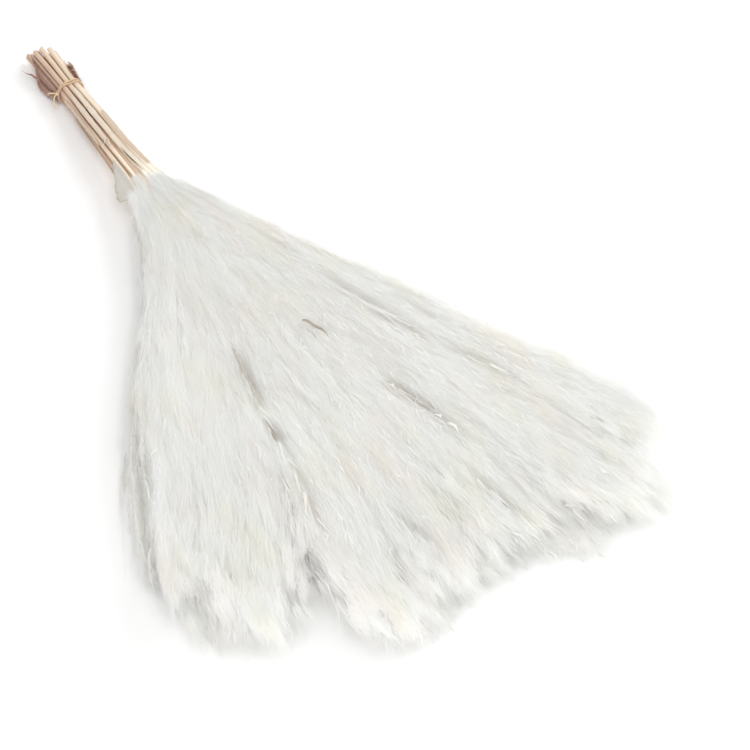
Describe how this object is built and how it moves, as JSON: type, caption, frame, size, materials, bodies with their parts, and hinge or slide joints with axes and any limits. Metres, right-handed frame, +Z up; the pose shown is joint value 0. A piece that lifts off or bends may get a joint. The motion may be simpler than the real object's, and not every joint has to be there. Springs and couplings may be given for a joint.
{
  "type": "bundle of dried miscanthus",
  "caption": "Dried bleached miscanthus tied with twine, straw stems at one end and soft ivory plumes fanned out at the other, lying on a flat surface.",
  "frame": {"origin": "bottom centre of the bundle's bounding box, on the surface it lies on", "axes": "+X from the cut ends to the plume tips, +Y across the fan, +Z up from the surface"},
  "size_m": [0.772, 0.425, 0.0581],
  "materials": {
    "straw": "dry satin culm with fine lengthwise fibres",
    "ivory_plume": "soft matte silky hairs",
    "pale_sheath": "dry papery leaf with parallel veins",
    "brown_husk": "dry papery, ragged",
    "twine": "thin twisted jute"
  },
  "bodies": {
    "root": {"stem_upper_1": "straw", "stem_upper_2": "straw", "stem_upper_3": "straw", "stem_upper_4": "straw", "stem_upper_5": "straw", "stem_upper_6": "straw", "stem_upper_7": "straw", "stem_lower_1": "straw", "stem_lower_2": "straw", "stem_lower_3": "straw", "stem_lower_4": "straw", "stem_lower_5": "straw", "stem_lower_6": "straw", "stem_lower_7": "straw", "plume_upper_1": "ivory_plume", "plume_upper_2": "ivory_plume", "plume_upper_3": "ivory_plume", "plume_upper_4": "ivory_plume", "plume_upper_5": "ivory_plume", "plume_upper_6": "ivory_plume", "plume_upper_7": "ivory_plume", "plume_lower_1": "ivory_plume", "plume_lower_2": "ivory_plume", "plume_lower_3": "ivory_plume", "plume_lower_4": "ivory_plume", "plume_lower_5": "ivory_plume", "plume_lower_6": "ivory_plume", "plume_lower_7": "ivory_plume", "twine_tie": "twine", "sheath_1": "pale_sheath", "sheath_2": "pale_sheath", "sheath_3": "pale_sheath", "sheath_4": "pale_sheath", "sheath_5": "pale_sheath", "leaf_flap": "pale_sheath", "husk_left": "brown_husk", "husk_right": "brown_husk"}
  },
  "joints": []
}
